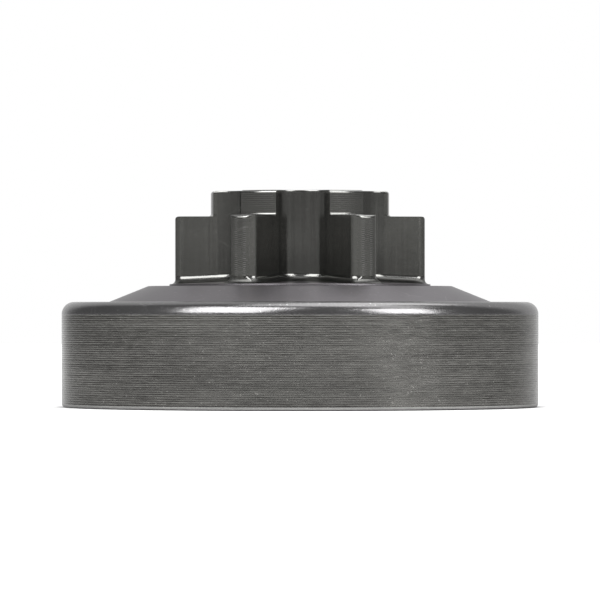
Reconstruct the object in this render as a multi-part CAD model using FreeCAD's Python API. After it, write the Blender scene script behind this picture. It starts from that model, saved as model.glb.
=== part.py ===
import FreeCAD, Part
import math
import os

# Clutch drum and chain sprocket of a chainsaw, cast in one piece and turned. All sizes are in mm.
# The origin is the centre of the drum's open rim, and +Z runs up the crankshaft towards the
# sprocket's free end. A gap between two teeth faces -Y.

# Drum
drum_outer_radius = 35.0
drum_wall = 3.0
drum_depth = 15.3
shoulder_rounding = 1.8
shoulder_width = 6.5
rim_outer_chamfer = 0.4
rim_inner_chamfer = 0.6
inner_corner_chamfer = 1.2

# Web, the shallow cone between the drum and the sprocket, with a flat ring round the land
web_thickness = 3.2
web_flat_width = 3.45
cone_rise = 2.45

# Land, the low turned step that the sprocket stands on
land_margin = 0.83
land_rise = 0.2

# Sprocket
tooth_count = 6
tip_radius = 18.35
crest_width = 1.4
crest_corner_rounding = 1.5
flank_angle = math.radians(10.0)
gap_radius = 4.57
full_tooth_height = 10.0
foot_chamfer = 0.7
tip_chamfer = 0.45

# Collar, the sprocket's free end, where the teeth are turned down
collar_radius = 13.1
collar_height = 3.7
collar_chamfer = 0.35

# Hub, bored for the needle bearing
bore_radius = 6.5
bore_chamfer = 0.5
hub_face_radius = 10.5
hub_face_rise = 0.8

# Radii, worked out from the sizes
drum_inner_radius = drum_outer_radius - drum_wall
cone_foot_radius = drum_outer_radius - shoulder_width
land_radius = tip_radius + land_margin
cone_top_radius = land_radius + web_flat_width

# Heights above the rim, worked out from the sizes
web_z = drum_depth + cone_rise
land_z = web_z + land_rise
ledge_z = land_z + full_tooth_height
top_z = ledge_z + collar_height
web_underside_z = web_z - web_thickness
shoulder_underside_z = drum_depth - web_thickness
hub_face_z = web_underside_z - hub_face_rise

# The toothed bar starts inside the web, and cuts run on a little past what they cut.
bar_start_z = web_z - web_thickness / 2
stock = 0.5

# Places closer than this count as the same.
tolerance = 0.001


def corner(radius, height, rounding=0.0):
    """A corner of a turned profile, in the half plane through -Y."""
    return FreeCAD.Vector(0, -radius, height), rounding


def turned(corners):
    """The solid turned about Z from a closed profile, its corners rounded by tangent arcs."""
    edges = []
    starts = []
    ends = []
    count = len(corners)
    for index in range(count):
        place, rounding = corners[index]
        if rounding == 0.0:
            starts.append(place)
            ends.append(place)
            continue
        back = (corners[index - 1][0] - place).normalize()
        ahead = (corners[(index + 1) % count][0] - place).normalize()
        half_angle = back.getAngle(ahead) / 2
        inward = (back + ahead).normalize()
        setback = rounding / math.tan(half_angle)
        depth = rounding / math.sin(half_angle) - rounding
        starts.append(place + back * setback)
        ends.append(place + ahead * setback)
        edges.append(Part.Arc(starts[-1], place + inward * depth, ends[-1]).toShape())
    for index in range(count):
        edges.append(Part.makeLine(ends[index], starts[(index + 1) % count]))
    profile = Part.Face(Part.Wire(Part.__sortEdges__(edges)))
    return profile.revolve(FreeCAD.Vector(0, 0, 0), FreeCAD.Vector(0, 0, 1), 360)


def drum_blank():
    """The drum, its web with the land on it, and the hub's inner face."""
    return turned([
        corner(0, land_z),
        corner(land_radius, land_z),
        corner(land_radius, web_z),
        corner(cone_top_radius, web_z),
        corner(cone_foot_radius, drum_depth),
        corner(drum_outer_radius, drum_depth, shoulder_rounding),
        corner(drum_outer_radius, rim_outer_chamfer),
        corner(drum_outer_radius - rim_outer_chamfer, 0),
        corner(drum_inner_radius + rim_inner_chamfer, 0),
        corner(drum_inner_radius, rim_inner_chamfer),
        corner(drum_inner_radius, shoulder_underside_z - inner_corner_chamfer),
        corner(drum_inner_radius - inner_corner_chamfer, shoulder_underside_z),
        corner(cone_foot_radius, shoulder_underside_z),
        corner(cone_top_radius, web_underside_z),
        corner(hub_face_radius, web_underside_z),
        corner(hub_face_radius, hub_face_z),
        corner(0, hub_face_z),
    ])


def plan_point(radius, angle):
    """A point at the bar's foot, by its distance from the axis and its angle from +X."""
    return FreeCAD.Vector(radius * math.cos(angle), radius * math.sin(angle), bar_start_z)


def turn(place, angle):
    """A point turned about Z."""
    return FreeCAD.Rotation(FreeCAD.Vector(0, 0, 1), math.degrees(angle)).multVec(place)


def toothed_bar():
    """A bar with the teeth all the way up: straight flanks, round gaps and rounded crest corners."""
    half_pitch = math.pi / tooth_count
    length = top_z + stock - bar_start_z

    def across(place):
        """The matching point on the tooth's other side."""
        return plan_point(math.hypot(place.x, place.y), 2 * half_pitch - math.atan2(place.y, place.x))

    # The crest ends in a rounding that is tangent to it and to the flank.
    flank_direction = half_pitch + flank_angle
    toward_gap = flank_direction - math.pi / 2
    crest_end_angle = half_pitch - math.asin(crest_width / 2 / tip_radius)
    corner_radius = tip_radius - crest_corner_rounding
    corner_centre = plan_point(corner_radius, crest_end_angle)
    outward = FreeCAD.Vector(crest_corner_rounding, 0, 0)
    flank_end = corner_centre + turn(outward, toward_gap)
    corner_middle = corner_centre + turn(outward, (toward_gap + crest_end_angle) / 2)
    crest_end = plan_point(tip_radius, crest_end_angle)

    # The gap's arc is tangent to the flanks on both sides, and that places its centre.
    flank_offset = corner_radius * math.sin(flank_direction - crest_end_angle) + crest_corner_rounding
    gap_centre_radius = (flank_offset + gap_radius) / math.sin(flank_direction)
    flank_start = FreeCAD.Vector(
        gap_centre_radius + gap_radius * math.cos(math.pi / 2 + flank_direction),
        gap_radius * math.sin(math.pi / 2 + flank_direction),
        bar_start_z)
    flank_start_below = FreeCAD.Vector(flank_start.x, -flank_start.y, bar_start_z)

    # One gap and the tooth after it, with the gap's middle line on +X
    outline = [
        (flank_start_below, plan_point(gap_centre_radius - gap_radius, 0), flank_start),
        (flank_start, flank_end),
        (flank_end, corner_middle, crest_end),
        (crest_end, plan_point(tip_radius, half_pitch), across(crest_end)),
        (across(crest_end), across(corner_middle), across(flank_end)),
        (across(flank_end), across(flank_start)),
    ]
    edges = []
    for index in range(tooth_count):
        angle = -math.pi / 2 + index * 2 * half_pitch
        for run in outline:
            places = [turn(place, angle) for place in run]
            if len(places) == 3:
                edges.append(Part.Arc(*places).toShape())
            else:
                edges.append(Part.makeLine(*places))
    section = Part.Face(Part.Wire(edges))
    return section.extrude(FreeCAD.Vector(0, 0, length))


def sprocket():
    """The toothed bar turned to its stepped outline, which leaves the collar at its free end."""
    outline = turned([
        corner(0, bar_start_z),
        corner(tip_radius + stock, bar_start_z),
        corner(tip_radius + stock, ledge_z - tip_chamfer - stock),
        corner(tip_radius - tip_chamfer, ledge_z),
        corner(collar_radius, ledge_z),
        corner(collar_radius, top_z - collar_chamfer),
        corner(collar_radius - collar_chamfer, top_z),
        corner(0, top_z),
    ])
    return toothed_bar().common(outline)


def foot_edges(body):
    """The edges where the sprocket's walls meet the land."""
    edges = []
    for edge in body.Edges:
        box = edge.BoundBox
        flat = abs(box.ZMin - land_z) < tolerance and abs(box.ZMax - land_z) < tolerance
        reach = max(math.hypot(vertex.X, vertex.Y) for vertex in edge.Vertexes)
        if flat and reach < tip_radius + tolerance:
            edges.append(edge)
    return edges


def bore_cutter():
    """The needle bearing's bore, right through the hub, with a chamfer at each end."""
    return turned([
        corner(0, hub_face_z - stock),
        corner(bore_radius + bore_chamfer + stock, hub_face_z - stock),
        corner(bore_radius, hub_face_z + bore_chamfer),
        corner(bore_radius, top_z - bore_chamfer),
        corner(bore_radius + bore_chamfer + stock, top_z + stock),
        corner(0, top_z + stock),
    ])


body = drum_blank().fuse(sprocket())
body = body.makeChamfer(foot_chamfer, foot_edges(body))
body = body.cut(bore_cutter())
body = body.removeSplitter()

os.makedirs("parts", exist_ok=True)
body.exportStep("parts/sprocket_drum.step")

solid = body.Solids[0]
box = solid.optimalBoundingBox(False)
print("solids", len(body.Solids), "valid", solid.isValid(), "faces", len(solid.Faces))
print("size", round(box.XLength, 3), round(box.YLength, 3), round(box.ZLength, 3), "base", round(box.ZMin, 3))
print("volume", round(solid.Volume, 1), "mass in steel, g", round(solid.Volume * 0.00785, 1))
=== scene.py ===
import bpy
import math
import random
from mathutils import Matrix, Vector


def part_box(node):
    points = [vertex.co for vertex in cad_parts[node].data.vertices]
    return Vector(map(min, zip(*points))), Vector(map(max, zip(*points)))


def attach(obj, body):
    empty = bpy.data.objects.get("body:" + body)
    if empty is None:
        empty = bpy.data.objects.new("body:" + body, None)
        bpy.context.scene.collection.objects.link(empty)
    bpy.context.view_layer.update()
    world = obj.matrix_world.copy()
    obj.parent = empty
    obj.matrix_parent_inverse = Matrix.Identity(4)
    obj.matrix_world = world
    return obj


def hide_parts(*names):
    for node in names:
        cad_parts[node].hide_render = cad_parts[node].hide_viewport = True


# The clutch drum and chain sprocket of a chainsaw: one steel casting, turned all over.
# It stands on the drum's open rim, with the sprocket's free end up.
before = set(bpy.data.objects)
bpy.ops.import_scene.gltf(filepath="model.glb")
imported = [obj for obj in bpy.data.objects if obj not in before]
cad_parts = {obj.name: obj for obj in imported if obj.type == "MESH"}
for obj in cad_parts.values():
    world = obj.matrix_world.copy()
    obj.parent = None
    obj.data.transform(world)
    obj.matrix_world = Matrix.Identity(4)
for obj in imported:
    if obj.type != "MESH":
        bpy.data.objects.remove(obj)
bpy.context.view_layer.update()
drum_high = Vector(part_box("sprocket_drum")[1])
mm = 0.001


# The view: a long lens at the height of the drum's shoulder, looking level at the front gap.
camera_azimuth = math.radians(-1.95)
camera_distance = 810 * mm
camera_height = 14.13 * mm

camera_data = bpy.data.cameras.new("camera")
camera_data.lens = 330.7
camera_data.sensor_width = 36.0
camera_data.shift_y = 0.0179
camera = bpy.data.objects.new("camera", camera_data)
camera.location = (
    camera_distance * math.sin(camera_azimuth),
    -camera_distance * math.cos(camera_azimuth),
    camera_height)
camera.rotation_euler = (math.radians(90), 0, camera_azimuth)
bpy.context.scene.collection.objects.link(camera)
bpy.context.scene.camera = camera
bpy.context.scene.view_settings.view_transform = "Standard"


# The drum, its web and the bored hub: all the surfaces that come off the lathe. The profile is
# drawn as a line, with the feed marks of the outer cut in it, and spun about the axis.
drum_radius = drum_high.x
drum_depth = 15.42 * mm
drum_wall = 3.0 * mm
shoulder_width = 6.93 * mm
shoulder_rounding = 1.8 * mm
rim_outer_rounding = 0.5 * mm
rim_inner_chamfer = 0.6 * mm
inner_corner_radius = 1.2 * mm
web_thickness = 3.2 * mm
web_flat_width = 3.11 * mm
cone_rise = 2.33 * mm
cone_top_rounding = 0.5 * mm
land_margin = 0.83 * mm
land_rise = 0.28 * mm
land_slope = 0.05
tip_radius = 18.35 * mm
hub_face_radius = 10.5 * mm
hub_face_rise = 0.8 * mm
bore_radius = 6.5 * mm
bore_chamfer = 0.5 * mm
edge_break = 0.08 * mm
cone_foot_rounding = 0.25 * mm
underside_rounding = 0.6 * mm
hub_foot_rounding = 0.2 * mm
run_margin = 0.04 * mm
merge_distance = 0.001 * mm
feed_pitch = 0.317 * mm
feed_depth = 0.009 * mm
feed_depth_spread = 0.3
points_per_mark = 4
turned_steps = 240

top_z = drum_high.z
web_z = drum_depth + cone_rise
land_z = web_z + land_rise
web_underside_z = web_z - web_thickness
shoulder_underside_z = drum_depth - web_thickness
hub_face_z = web_underside_z - hub_face_rise
drum_inner_radius = drum_radius - drum_wall
cone_foot_radius = drum_radius - shoulder_width
land_radius = tip_radius + land_margin
cone_top_radius = land_radius + web_flat_width


def rounded(before, corner, after, rounding, steps):
    """Points of the arc that rounds a corner between two straight runs. One more point on each run,
    close to the arc, keeps the shading of the runs flat."""
    back = (before - corner).normalized()
    ahead = (after - corner).normalized()
    half_angle = back.angle(ahead) / 2
    centre = corner + (back + ahead).normalized() * rounding / math.sin(half_angle)
    first = corner + back * rounding / math.tan(half_angle) - centre
    last = corner + ahead * rounding / math.tan(half_angle) - centre
    arc = [centre + first.slerp(last, step / steps) * rounding for step in range(steps + 1)]
    return [arc[0] + back * run_margin] + arc + [arc[-1] + ahead * run_margin]


def profile_line(corners):
    """A turned profile in the XZ plane through (radius, height, rounding, steps), its corners
    rounded."""
    places = [Vector((radius, 0, height)) for radius, height, rounding, steps in corners]
    line = [places[0]]
    for index in range(1, len(places) - 1):
        rounding, steps = corners[index][2:]
        if rounding:
            line += rounded(places[index - 1], places[index], places[index + 1], rounding, steps)
        else:
            line.append(places[index])
    return line + [places[-1]]


def feed_marks(high, low):
    """The scallops that the tool's nose leaves on the wall, one each turn, from high to low."""
    draws = random.Random(7)
    count = round((high - low) / feed_pitch)
    line = []
    for mark in range(count):
        depth = feed_depth * draws.uniform(1 - feed_depth_spread, 1 + feed_depth_spread)
        for point in range(points_per_mark):
            share = point / points_per_mark
            scallop = 1 - (2 * share - 1)**2
            height = high + (low - high) * (mark + share) / count
            line.append(Vector((drum_radius - depth * scallop, 0, height)))
    return line


def draw_line(points):
    """Draw a line in the edited mesh, one vertex after the other."""
    bpy.ops.mesh.select_all(action="DESELECT")
    bpy.ops.mesh.primitive_plane_add(size=mm, location=points[0])
    bpy.ops.mesh.merge(type="CENTER")
    for start, end in zip(points, points[1:]):
        bpy.ops.mesh.extrude_vertices_move(TRANSFORM_OT_translate={"value": end - start})


def new_mesh(name):
    """An empty mesh object at the origin, in edit mode."""
    bpy.ops.object.select_all(action="DESELECT")
    bpy.ops.mesh.primitive_plane_add(size=mm)
    piece = bpy.context.object
    piece.name = name
    bpy.ops.object.mode_set(mode="EDIT")
    bpy.ops.mesh.select_all(action="SELECT")
    bpy.ops.mesh.delete(type="VERT")
    return piece


turned_top = profile_line([
    (land_radius - 1.5 * edge_break, land_z, 0, 0),
    (land_radius, land_z, edge_break, 3),
    (land_radius, web_z, 0, 0),
    (cone_top_radius, web_z, cone_top_rounding, 4),
    (cone_foot_radius, drum_depth, cone_foot_rounding, 3),
    (drum_radius, drum_depth, shoulder_rounding, 14),
    (drum_radius, drum_depth - 2 * shoulder_rounding, 0, 0),
])[:-1]
wall_top_z = turned_top[-1].z
turned_inside = profile_line([
    (drum_radius, rim_outer_rounding + 2 * run_margin, 0, 0),
    (drum_radius, 0, rim_outer_rounding, 6),
    (drum_inner_radius + rim_inner_chamfer, 0, edge_break, 2),
    (drum_inner_radius, rim_inner_chamfer, edge_break, 2),
    (drum_inner_radius, shoulder_underside_z, inner_corner_radius, 6),
    (cone_foot_radius, shoulder_underside_z, underside_rounding, 4),
    (cone_top_radius, web_underside_z, underside_rounding, 4),
    (hub_face_radius, web_underside_z, hub_foot_rounding, 2),
    (hub_face_radius, hub_face_z, edge_break, 2),
    (bore_radius + bore_chamfer, hub_face_z, edge_break, 2),
    (bore_radius, hub_face_z + bore_chamfer, edge_break, 2),
    (bore_radius, top_z - bore_chamfer, edge_break, 2),
    (bore_radius + bore_chamfer, top_z, 0, 0),
])
turned_profile = turned_top + feed_marks(wall_top_z, turned_inside[0].z)[1:] + turned_inside

sprocket_drum = new_mesh("turned_sprocket_drum")
draw_line(turned_profile)
bpy.ops.mesh.select_all(action="SELECT")
bpy.ops.mesh.spin(steps=turned_steps, angle=math.radians(360), center=(0, 0, 0), axis=(0, 0, 1))
bpy.ops.mesh.select_all(action="SELECT")
bpy.ops.mesh.remove_doubles(threshold=merge_distance)
bpy.ops.object.mode_set(mode="OBJECT")


# The star: six teeth with straight flanks and round gaps, on a filleted foot. One tooth is lofted
# through its outlines, from the land to the collar's flat end, and copied round the axis.
tooth_count = 6
crest_width = 1.4 * mm
crest_corner_rounding = 1.5 * mm
flank_angle = math.radians(10)
gap_radius = 4.57 * mm
full_tooth_height = 9.92 * mm
foot_height = 1.1 * mm
foot_upper_rounding = 0.75 * mm
foot_turn = math.radians(45)
crest_foot_fillet = 0.6 * mm
foot_steps = 6
tip_rounding = 0.42 * mm
collar_radius = 13.1 * mm
collar_foot_fillet = 0.4 * mm
collar_rounding = 0.42 * mm
gap_steps = 14
corner_steps = 10
crest_steps = 3

ledge_z = land_z + full_tooth_height
half_pitch = math.pi / tooth_count
flank_direction = half_pitch + flank_angle
crest_end = half_pitch - math.asin(crest_width / 2 / tip_radius)
corner_distance = tip_radius - crest_corner_rounding
flank_offset = corner_distance * math.sin(flank_direction - crest_end) + crest_corner_rounding
flank_end = corner_distance * math.cos(flank_direction - crest_end)
gap_distance = (flank_offset + gap_radius) / math.sin(flank_direction)
gap_end = math.hypot(gap_distance * math.cos(flank_direction), flank_offset)
collar_stops = [collar_radius + collar_foot_fillet * share for share in (0, 0.3, 0.6, 1)]
flank_stops = [math.sqrt(stop**2 - flank_offset**2) for stop in collar_stops]
flank_stops += [flank_stops[-1] + (flank_end - flank_stops[-1]) * share
                for share in (0.25, 0.5, 0.75)]


def half_gap(offset):
    """Half a gap's outline in plan, from the gap's middle on -Y to the next tooth's middle line.
    The offset moves it out of the metal."""
    arc_radius = gap_radius - offset
    corner_radius = crest_corner_rounding + offset
    crest_radius = tip_radius + offset
    line = []
    for step in range(gap_steps + 1):
        angle = (math.pi / 2 - flank_direction) * step / gap_steps
        line.append(Vector((
            arc_radius * math.sin(angle), arc_radius * math.cos(angle) - gap_distance, 0)))
    along = Vector((math.sin(flank_direction), -math.cos(flank_direction), 0))
    toward_gap = Vector((along.y, -along.x, 0))
    for stop in flank_stops:
        line.append(along * stop + toward_gap * (flank_offset + offset))
    for step in range(corner_steps + 1):
        angle = flank_direction - math.pi / 2
        angle += (crest_end - angle) * step / corner_steps
        line.append(Vector((
            corner_distance * math.sin(crest_end) + corner_radius * math.sin(angle),
            -corner_distance * math.cos(crest_end) - corner_radius * math.cos(angle),
            0)))
    for step in range(1, crest_steps + 1):
        angle = crest_end + (half_pitch - crest_end) * step / crest_steps
        line.append(Vector((crest_radius * math.sin(angle), -crest_radius * math.cos(angle), 0)))
    return line


def turned_down(offset, reach):
    """The half gap's outline, turned down to a reach from the axis."""
    return [place * reach / place.length if place.length > reach else place
            for place in half_gap(offset)]


def section(offset, reach, height):
    """The half gap's outline at a height, turned down to a reach from the axis."""
    return [place + Vector((0, 0, height)) for place in turned_down(offset, reach)]


def foot_section(offset, rise):
    """The half gap's outline at a rise over the land, which climbs a little towards the axis.
    The crests' feet were turned with a smaller fillet, which cuts off the gap's wider one."""
    turned_share = min(rise / crest_foot_fillet, 1)
    reach = tip_radius + crest_foot_fillet * (1 - math.sqrt(1 - (1 - turned_share)**2))
    line = []
    for place in turned_down(offset, reach):
        height = land_z + rise + land_slope * (land_radius - place.length)
        line.append(place + Vector((0, 0, height)))
    return line


steps_outline = profile_line([
    (tip_radius, land_z + foot_height, 0, 0),
    (tip_radius, ledge_z, tip_rounding, 5),
    (collar_radius, ledge_z, collar_foot_fillet, 5),
    (collar_radius, top_z, collar_rounding, 6),
    (bore_radius, top_z, 0, 0),
])[1:-1]
foot_lower_rounding = ((foot_height - foot_upper_rounding * math.sin(foot_turn))
                       / (1 - math.sin(foot_turn)))
foot_width = (foot_upper_rounding * (1 - math.cos(foot_turn))
              + foot_lower_rounding * math.cos(foot_turn))
sections = []
for step in range(foot_steps):
    angle = math.pi / 2 + (foot_turn - math.pi / 2) * step / foot_steps
    sections.append(foot_section(
        foot_width - foot_lower_rounding * math.cos(angle),
        foot_lower_rounding * (1 - math.sin(angle))))
for step in range(foot_steps + 1):
    angle = foot_turn * (1 - step / foot_steps)
    sections.append(foot_section(
        foot_upper_rounding * (1 - math.cos(angle)),
        foot_height - foot_upper_rounding * math.sin(angle)))
sections.append(foot_section(0, foot_height + run_margin))
for place in steps_outline:
    sections.append(section(min(0, top_z - edge_break - place.z), place.x, place.z))


def pick(piece, wanted):
    """Select the vertices of the edited mesh that pass a test."""
    bpy.ops.mesh.select_all(action="DESELECT")
    bpy.ops.object.mode_set(mode="OBJECT")
    for vertex in piece.data.vertices:
        vertex.select = wanted(vertex)
    bpy.ops.object.mode_set(mode="EDIT")


star = new_mesh("star")
for line in sections:
    draw_line(line)
line_length = len(sections[0])
for index in range(len(sections) - 1):
    pick(star, lambda vertex: vertex.index // line_length in (index, index + 1))
    bpy.ops.mesh.bridge_edge_loops()

bpy.ops.object.mode_set(mode="OBJECT")
mirror = star.modifiers.new("other half of the gap", "MIRROR")
mirror.merge_threshold = merge_distance
bpy.ops.object.modifier_apply(modifier=mirror.name)
bpy.ops.object.mode_set(mode="EDIT")
bpy.ops.mesh.select_all(action="SELECT")
bpy.ops.mesh.spin(
    steps=tooth_count - 1, dupli=True, angle=math.radians(360) * (tooth_count - 1) / tooth_count,
    center=(0, 0, 0), axis=(0, 0, 1))
bpy.ops.mesh.select_all(action="SELECT")
bpy.ops.mesh.remove_doubles(threshold=merge_distance)
bpy.ops.object.mode_set(mode="OBJECT")

sprocket_drum.select_set(True)
bpy.context.view_layer.objects.active = sprocket_drum
bpy.ops.object.join()
bpy.ops.object.mode_set(mode="EDIT")
for at_top in (False, True):
    bpy.ops.mesh.select_all(action="DESELECT")
    bpy.ops.mesh.select_non_manifold()
    bpy.ops.object.mode_set(mode="OBJECT")
    open_edge = {vertex.index for vertex in sprocket_drum.data.vertices
                 if vertex.select and (vertex.co.z > ledge_z) == at_top}
    bpy.ops.object.mode_set(mode="EDIT")
    pick(sprocket_drum, lambda vertex: vertex.index in open_edge)
    bpy.ops.mesh.fill()
bpy.ops.mesh.select_all(action="SELECT")
bpy.ops.mesh.normals_make_consistent(inside=False)
bpy.ops.object.mode_set(mode="OBJECT")

bpy.ops.object.shade_smooth_by_angle(angle=math.radians(30))
weighting = sprocket_drum.modifiers.new("weighted normals", "WEIGHTED_NORMAL")
weighting.keep_sharp = True
bpy.ops.object.modifier_apply(modifier=weighting.name)


# The finish of the steel: turned all over and darkened by the heat of hardening. Each tool left its
# own lines, and handling left specks, smudges and a few fine scratches. Some finishes paint light:
# shade in the foot corners, in the gap bottoms and low on the teeth, and highlights on the rounded
# edges, the foot fillets and the rim's edge.
def node_group(name, inputs, outputs):
    """An empty shader node group; gives it with its input and output nodes."""
    group = bpy.data.node_groups.new(name, "ShaderNodeTree")
    for label, value in inputs:
        socket = group.interface.new_socket(label, in_out="INPUT", socket_type="NodeSocketFloat")
        socket.default_value = value
    for label in outputs:
        group.interface.new_socket(label, in_out="OUTPUT", socket_type="NodeSocketFloat")
    return group, group.nodes.new("NodeGroupInput"), group.nodes.new("NodeGroupOutput")


def feed(tree, socket, term):
    """Give an input its term: another node's output, or a plain value."""
    if isinstance(term, bpy.types.NodeSocket):
        tree.links.new(term, socket)
    else:
        socket.default_value = term


def math_node(tree, operation, first, second=0.0):
    """A Math node; gives its output."""
    node = tree.nodes.new("ShaderNodeMath")
    node.operation = operation
    feed(tree, node.inputs[0], first)
    feed(tree, node.inputs[1], second)
    return node.outputs["Value"]


def vector_node(tree, operation, first, second=(0.0, 0.0, 0.0)):
    """A Vector Math node; gives its vector."""
    node = tree.nodes.new("ShaderNodeVectorMath")
    node.operation = operation
    feed(tree, node.inputs[0], first)
    feed(tree, node.inputs[1], second)
    return node.outputs["Vector"]


def scale_node(tree, vector, factor):
    """A vector times a number; gives its vector."""
    node = tree.nodes.new("ShaderNodeVectorMath")
    node.operation = "SCALE"
    feed(tree, node.inputs[0], vector)
    feed(tree, node.inputs["Scale"], factor)
    return node.outputs["Vector"]


def length_node(tree, vector):
    """The length of a vector; gives its output."""
    node = tree.nodes.new("ShaderNodeVectorMath")
    node.operation = "LENGTH"
    tree.links.new(vector, node.inputs[0])
    return node.outputs["Value"]


def separate_node(tree, vector):
    """The parts of a vector; gives the outputs X, Y and Z."""
    node = tree.nodes.new("ShaderNodeSeparateXYZ")
    tree.links.new(vector, node.inputs["Vector"])
    return node.outputs


def noise_node(tree, vector, scale, detail):
    """A Noise Texture on a vector; gives its output."""
    node = tree.nodes.new("ShaderNodeTexNoise")
    node.inputs["Scale"].default_value = scale
    node.inputs["Detail"].default_value = detail
    tree.links.new(vector, node.inputs["Vector"])
    return node.outputs["Fac"]


def share_node(tree, value, low, high):
    """A value mapped from its low and high ends to 0 and 1, clamped; gives its output."""
    node = tree.nodes.new("ShaderNodeMapRange")
    node.interpolation_type = "SMOOTHSTEP"
    node.inputs["From Min"].default_value = low
    node.inputs["From Max"].default_value = high
    tree.links.new(value, node.inputs["Value"])
    return node.outputs["Result"]


turning_lines, lines_in, lines_out = node_group(
    "turning lines", [("Pitch", 0.3 * mm), ("Facing", 0.0), ("Streaks", 1.0)],
    ["Line", "Ring", "Marks"])
place = turning_lines.nodes.new("ShaderNodeTexCoord").outputs["Object"]
flat = vector_node(turning_lines, "MULTIPLY", place, (1.0, 1.0, 0.0))
outwards = math_node(
    turning_lines, "MULTIPLY", length_node(turning_lines, flat), lines_in.outputs["Facing"])
travel = math_node(turning_lines, "ADD", outwards, separate_node(turning_lines, place)["Z"])
travel = math_node(turning_lines, "DIVIDE", travel, lines_in.outputs["Pitch"])
marks = math_node(
    turning_lines, "SINE", math_node(turning_lines, "MULTIPLY", travel, 2 * math.pi))
round_axis = vector_node(turning_lines, "NORMALIZE", flat)
streaks = scale_node(turning_lines, round_axis, lines_in.outputs["Streaks"])
tool_path = turning_lines.nodes.new("ShaderNodeCombineXYZ")
turning_lines.links.new(travel, tool_path.inputs["Z"])
path = vector_node(turning_lines, "ADD", streaks, tool_path.outputs["Vector"])
slow_path = vector_node(turning_lines, "MULTIPLY", path, (0.1, 0.1, 0.11))
turning_masks = {
    "Line": noise_node(turning_lines, path, scale=1.0, detail=2.0),
    "Ring": noise_node(turning_lines, slow_path, scale=1.0, detail=1.0),
    "Marks": marks,
}
for label, mask in turning_masks.items():
    turning_lines.links.new(mask, lines_out.inputs[label])

# Painted shade: the teeth darken from 8 mm over the land down to 1 mm over it, where less light
# gets down between them.
low_shade_start_z = land_z + 8 * mm
low_shade_full_z = land_z + 1 * mm
handling_and_painted_shade, _, handling_and_shade_out = node_group(
    "handling_and_painted_shade", [], ["Specks", "Smudges", "Scratches", "Grain", "Upright", "Painted low shade"])
place = handling_and_painted_shade.nodes.new("ShaderNodeTexCoord").outputs["Object"]
drawn_out = vector_node(handling_and_painted_shade, "MULTIPLY", place, (1.0, 1.0, 0.02))
web = handling_and_painted_shade.nodes.new("ShaderNodeTexVoronoi")
web.feature = "DISTANCE_TO_EDGE"
web.inputs["Scale"].default_value = 170.0
handling_and_painted_shade.links.new(place, web.inputs["Vector"])
near_web = share_node(handling_and_painted_shade, web.outputs["Distance"], 0.018, 0.004)
patches = share_node(handling_and_painted_shade, noise_node(handling_and_painted_shade, place, scale=140.0, detail=2.0), 0.6, 0.68)
handling_and_shade_masks = {
    "Specks": share_node(
        handling_and_painted_shade, noise_node(handling_and_painted_shade, place, scale=3200.0, detail=1.0), 0.69, 0.76),
    "Smudges": share_node(
        handling_and_painted_shade, noise_node(handling_and_painted_shade, place, scale=90.0, detail=4.0), 0.42, 0.68),
    "Scratches": math_node(handling_and_painted_shade, "MULTIPLY", near_web, patches),
    "Grain": noise_node(handling_and_painted_shade, place, scale=5000.0, detail=1.0),
    "Upright": noise_node(handling_and_painted_shade, drawn_out, scale=2600.0, detail=2.0),
    "Painted low shade": share_node(handling_and_painted_shade, separate_node(handling_and_painted_shade, place)["Z"], low_shade_start_z, low_shade_full_z),
}
for label, mask in handling_and_shade_masks.items():
    handling_and_painted_shade.links.new(mask, handling_and_shade_out.inputs[label])

specular_tint = (0.65, 0.65, 0.65, 1.0)
noise_middle = 0.5
ring_share = 0.6
scratch_tone = 0.35
least_tone = 0.1
rough_share = 0.5


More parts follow.
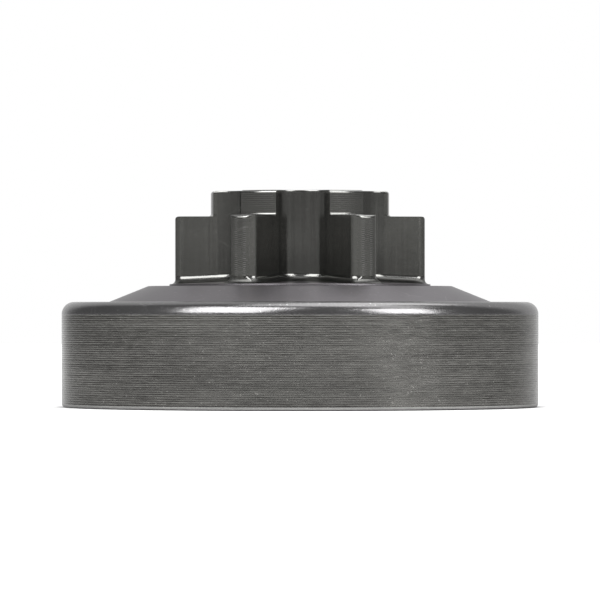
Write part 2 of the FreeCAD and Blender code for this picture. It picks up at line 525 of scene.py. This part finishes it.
def steel(name, colour, roughness, pitch, streaks, line_depth, line_tone, smudge_tone, facing=0.0,
          mark_tone=0.0, speck_tone=0.5, grain_depth=0.0, upright_tone=0.0, low_shade_tone=0.0,
          metallic=1.0):
    """A turned steel finish: its colour, and how deep and how visible the tool's lines are."""
    material = bpy.data.materials.new(name)
    material.use_nodes = True
    tree = material.node_tree
    shader = tree.nodes["Principled BSDF"]
    shader.inputs["Metallic"].default_value = metallic
    shader.inputs["Specular Tint"].default_value = specular_tint
    lines = tree.nodes.new("ShaderNodeGroup")
    lines.node_tree = turning_lines
    lines.inputs["Pitch"].default_value = pitch
    lines.inputs["Facing"].default_value = facing
    lines.inputs["Streaks"].default_value = streaks
    marks = tree.nodes.new("ShaderNodeGroup")
    marks.node_tree = handling_and_painted_shade
    broken_marks = math_node(tree, "MULTIPLY", lines.outputs["Marks"], lines.outputs["Line"])

    # The tone adds the tool's lines, smudges, specks and scratches, and the painted low shade.
    tone = 1.0
    for mask, middle, strength in (
            (lines.outputs["Line"], noise_middle, line_tone),
            (lines.outputs["Ring"], noise_middle, line_tone * ring_share),
            (marks.outputs["Smudges"], 0.0, smudge_tone),
            (broken_marks, 0.0, mark_tone),
            (marks.outputs["Upright"], noise_middle, upright_tone),
            (marks.outputs["Painted low shade"], 0.0, low_shade_tone),
            (marks.outputs["Specks"], 0.0, speck_tone),
            (marks.outputs["Scratches"], 0.0, scratch_tone)):
        change = math_node(tree, "SUBTRACT", mask, middle)
        change = math_node(tree, "MULTIPLY", change, strength)
        tone = math_node(tree, "ADD", tone, change)
    tone = math_node(tree, "MAXIMUM", tone, least_tone)
    tree.links.new(scale_node(tree, colour, tone), shader.inputs["Base Color"])

    rough = math_node(tree, "MULTIPLY", marks.outputs["Smudges"], smudge_tone * rough_share)
    rough = math_node(tree, "ADD", rough, roughness)
    tree.links.new(rough, shader.inputs["Roughness"])

    depth = math_node(tree, "MULTIPLY", lines.outputs["Line"], line_depth / mm)
    grain = math_node(tree, "MULTIPLY", marks.outputs["Grain"], grain_depth / mm)
    depth = math_node(tree, "ADD", depth, grain)
    relief = tree.nodes.new("ShaderNodeBump")
    relief.inputs["Distance"].default_value = mm
    relief.inputs["Strength"].default_value = 1.0
    tree.links.new(depth, relief.inputs["Height"])
    tree.links.new(relief.outputs["Normal"], shader.inputs["Normal"])
    return material


tooth_lines = {"pitch": 0.50 * mm, "streaks": 30, "line_depth": 0.001 * mm, "line_tone": 0.10,
               "smudge_tone": 0.05}
step_lines = {"pitch": 0.30 * mm, "streaks": 30, "line_depth": 0.002 * mm, "line_tone": 0.20,
              "smudge_tone": 0.06}
finishes = [
    steel("drum wall", (0.130, 0.128, 0.121), 0.20, pitch=0.14 * mm, streaks=16,
          line_depth=0.005 * mm, line_tone=1.3, smudge_tone=0.12, mark_tone=1.4, speck_tone=1.1),
    steel("shoulder", (0.205, 0.202, 0.204), 0.20, pitch=0.10 * mm, facing=1.0, streaks=60,
          line_depth=0.002 * mm, line_tone=0.12, smudge_tone=0.06, speck_tone=0.8,
          grain_depth=0.013 * mm),
    steel("inside of the cup", (0.190, 0.186, 0.178), 0.26, pitch=0.20 * mm, facing=1.0,
          streaks=25, line_depth=0.005 * mm, line_tone=0.3, smudge_tone=0.12),
    steel("ground bore", (0.420, 0.415, 0.400), 0.12, pitch=0.08 * mm, streaks=4,
          line_depth=0.001 * mm, line_tone=0.10, smudge_tone=0.05),
    steel("tooth flanks", (0.138, 0.138, 0.129), 0.13, **tooth_lines, upright_tone=0.5,
          low_shade_tone=-0.30, metallic=0.88),
    steel("turned steps", (0.124, 0.124, 0.117), 0.16, **step_lines, facing=0.4, mark_tone=0.42,
          metallic=0.92),
    # Painted highlight: a lighter colour on the rim's upper rounding, where it reflects the lit
    # table.
    steel("rim edge with painted highlight", (0.380, 0.378, 0.370), 0.22, pitch=0.10 * mm, streaks=40,
          line_depth=0.004 * mm, line_tone=0.5, smudge_tone=0.10),
    steel("cone and land", (0.184, 0.175, 0.184), 0.36, pitch=0.10 * mm, facing=1.0, streaks=45,
          line_depth=0.001 * mm, line_tone=0.10, smudge_tone=0.06),
    # Painted shade: a darker colour on the flat lower part of the tooth foot and at the crests'
    # feet.
    steel("foot corner with painted shade", (0.100, 0.100, 0.096), 0.30, pitch=0.30 * mm, facing=1.0, streaks=30,
          line_depth=0.001 * mm, line_tone=0.10, smudge_tone=0.10),
    steel("rounded tooth corners", (0.130, 0.130, 0.122), 0.18, **tooth_lines, upright_tone=0.4,
          low_shade_tone=-0.15, metallic=0.92),
    steel("crest edges", (0.145, 0.145, 0.138), 0.16, **step_lines, mark_tone=1.2, metallic=0.92),
    # Painted shade: the gap walls inside the collar's radius, deep between the teeth, are darker.
    steel("gap bottoms with painted shade", (0.118, 0.118, 0.111), 0.12, **tooth_lines, upright_tone=0.6,
          low_shade_tone=-0.35, metallic=0.90),
    # Painted highlight: a lighter colour on the middle of the foot fillets brightens their
    # highlight.
    steel("foot fillets with painted highlight", (0.185, 0.185, 0.178), 0.17, **tooth_lines, grain_depth=0.008 * mm),
    # Painted highlight: a lighter colour on the rounded top edges, which catch the softboxes.
    steel("rounded edges with painted highlight", (0.270, 0.270, 0.262), 0.18, pitch=0.30 * mm, facing=0.4, streaks=30,
          line_depth=0.002 * mm, line_tone=0.20, smudge_tone=0.10),
]
for finish in finishes:
    sprocket_drum.data.materials.append(finish)
finish_index = {finish.name: index for index, finish in enumerate(finishes)}

hair = 0.01 * mm
rim_highlight_start_share = 0.35
crest_plain_share = 0.7
corner_share = 0.7
foot_flat_rise = 0.6
foot_steep_rise = 0.12
edge_rise = 0.3
flat_rise = 0.95
straight_out = 0.98
partly_out = 0.5


def finish_of(centre, normal):
    """Which finish a face has, by its place and the way it faces."""
    radius = math.hypot(centre.x, centre.y)
    outward = (normal.x * centre.x + normal.y * centre.y) / max(radius, mm)
    if radius < bore_radius + bore_chamfer and centre.z > hub_face_z:
        return "ground bore"
    if centre.z < web_underside_z + hair and radius < drum_inner_radius + hair:
        return "inside of the cup"
    if radius > drum_radius - rim_outer_rounding and centre.z < rim_outer_rounding:
        # The upper part of the rim's rounding gets the painted highlight.
        on_edge = centre.z > rim_highlight_start_share * rim_outer_rounding
        return "rim edge with painted highlight" if on_edge else "cone and land"
    if radius > drum_radius - 10 * hair and centre.z < wall_top_z:
        return "drum wall"
    if radius > cone_foot_radius:
        return "shoulder"
    rise = centre.z - land_z - land_slope * (land_radius - radius)
    if radius < land_radius - 3 * edge_break and 2 * hair < rise < foot_height:
        # The foot's flatter part and the crests' feet get the painted shade.
        if normal.z > foot_flat_rise or radius > tip_radius:
            return "foot corner with painted shade"
        # The middle of the foot fillets gets the painted highlight.
        return "foot fillets with painted highlight" if normal.z > foot_steep_rise else "tooth flanks"
    if radius > tip_radius or rise < foot_height:
        return "cone and land"
    if normal.z > edge_rise:
        # Rounded top edges get the painted highlight.
        return "cone and land" if normal.z > flat_rise else "rounded edges with painted highlight"
    if outward > straight_out and abs(radius - tip_radius) < 3 * hair:
        azimuth = math.atan2(centre.x, -centre.y) % (2 * half_pitch)
        plain = abs(azimuth - half_pitch) <= (half_pitch - crest_end) * crest_plain_share
        return "turned steps" if plain else "crest edges"
    if radius > tip_radius - crest_corner_rounding * corner_share and outward > partly_out:
        return "rounded tooth corners"
    if outward > straight_out and abs(radius - collar_radius) < 3 * hair:
        return "turned steps"
    # Gap walls inside the collar's radius get the painted shade.
    return "tooth flanks" if radius > gap_end else "gap bottoms with painted shade"


for face in sprocket_drum.data.polygons:
    face.material_index = finish_index[finish_of(face.center, face.normal)]
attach(sprocket_drum, "root")
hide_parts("sprocket_drum")


# The studio: a white table and white paper behind, four softboxes round the drum, and a plain grey
# room on the camera's side, which is what the upright faces of the steel reflect.
white = (1.0, 1.0, 1.0, 1.0)
floor_size = 3.0
floor_colour = (0.6, 0.6, 0.6, 1.0)
floor_roughness = 0.9
floor_glow_near = 0.42
floor_glow_far = 1.0
floor_glow_seen = 0.25
floor_glow_start = 0.1
floor_glow_end = 0.5
strip_width = 0.6
painted_shadow_inner = drum_radius - 1 * mm
painted_shadow_outer = drum_radius + 3 * mm
room_grey = 0.27
paper_middle = 0.14
paper_full = 0.47
paper_end = 0.72
paper_ahead_start = 0.25
paper_ahead_end = 0.55
softbox_distance = 1.5

bpy.ops.object.select_all(action="DESELECT")
bpy.ops.mesh.primitive_plane_add(size=floor_size)
floor = bpy.context.object
floor.name = "table"
table_top = bpy.data.materials.new("white table")
table_top.use_nodes = True
tree = table_top.node_tree
shader = tree.nodes["Principled BSDF"]
shader.inputs["Base Color"].default_value = floor_colour
shader.inputs["Roughness"].default_value = floor_roughness
shader.inputs["Emission Color"].default_value = white
ray = tree.nodes.new("ShaderNodeLightPath")
seen = math_node(tree, "ADD", ray.outputs["Is Camera Ray"], ray.outputs["Is Glossy Ray"])
seen = math_node(tree, "ADD", seen, ray.outputs["Is Transmission Ray"])
seen = math_node(tree, "MINIMUM", seen, 1.0)
place = tree.nodes.new("ShaderNodeTexCoord").outputs["Object"]
reach = length_node(tree, place)
aside = math_node(tree, "ABSOLUTE", separate_node(tree, place)["X"])
strip = share_node(tree, aside, 0.7 * strip_width, 0.3 * strip_width)
far = share_node(tree, reach, floor_glow_start, floor_glow_end)
far = math_node(tree, "MULTIPLY", far, strip)
near = math_node(tree, "MULTIPLY", ray.outputs["Is Camera Ray"], floor_glow_seen)
near = math_node(tree, "ADD", near, floor_glow_near)
further = math_node(tree, "SUBTRACT", floor_glow_far, near)
glow = math_node(tree, "MULTIPLY", far, further)
glow = math_node(tree, "ADD", glow, near)
# Painted shadow: the table's glow fades out within a few mm of the drum's rim.
painted_contact_shadow = share_node(tree, reach, painted_shadow_inner, painted_shadow_outer)
glow = math_node(tree, "MULTIPLY", glow, painted_contact_shadow)
glow = math_node(tree, "MULTIPLY", glow, seen)
tree.links.new(glow, shader.inputs["Emission Strength"])
floor.data.materials.append(table_top)

world = bpy.data.worlds.new("studio")
bpy.context.scene.world = world
world.use_nodes = True
tree = world.node_tree
background = tree.nodes["Background"]
background.inputs["Color"].default_value = white
direction = tree.nodes.new("ShaderNodeTexCoord").outputs["Generated"]
parts = separate_node(tree, direction)
ahead = share_node(tree, parts["Y"], paper_ahead_start, paper_ahead_end)
aside = math_node(tree, "SUBTRACT", parts["X"], paper_middle)
aside = math_node(tree, "ABSOLUTE", aside)
paper = share_node(tree, aside, paper_end, paper_full)
paper = math_node(tree, "MULTIPLY", paper, ahead)
room = math_node(tree, "MULTIPLY", paper, 1.0 - room_grey)
room = math_node(tree, "ADD", room, room_grey)
ray = tree.nodes.new("ShaderNodeLightPath")
seen = math_node(tree, "ADD", ray.outputs["Is Glossy Ray"], ray.outputs["Is Transmission Ray"])
seen = math_node(tree, "MULTIPLY", seen, room)
seen = math_node(tree, "MAXIMUM", seen, room_grey)
level = math_node(tree, "MAXIMUM", seen, ray.outputs["Is Camera Ray"])
tree.links.new(level, background.inputs["Strength"])


def softbox(name, azimuth, elevation, width, height, radiance):
    """A rectangle of light that looks at the sprocket. Azimuth 0 is the camera's side."""
    light = bpy.data.lights.new(name, "AREA")
    light.shape = "RECTANGLE"
    light.size = width
    light.size_y = height
    light.energy = radiance * math.pi * width * height
    holder = bpy.data.objects.new(name, light)
    azimuth = math.radians(azimuth)
    elevation = math.radians(elevation)
    toward = Vector((
        math.sin(azimuth) * math.cos(elevation),
        -math.cos(azimuth) * math.cos(elevation),
        math.sin(elevation)))
    holder.location = toward * softbox_distance
    holder.rotation_euler = toward.to_track_quat("Z", "Y").to_euler()
    holder.visible_camera = False
    bpy.context.scene.collection.objects.link(holder)


softbox("left softbox", azimuth=-41, elevation=40, width=1.08, height=1.4, radiance=5.0)
softbox("right softbox", azimuth=51.2, elevation=27.5, width=0.77, height=1.0, radiance=5.3)
softbox("upper right softbox", azimuth=74, elevation=64, width=0.62, height=0.75, radiance=1.8)
softbox("overhead softbox", azimuth=146, elevation=75, width=0.75, height=1.45, radiance=2.2)
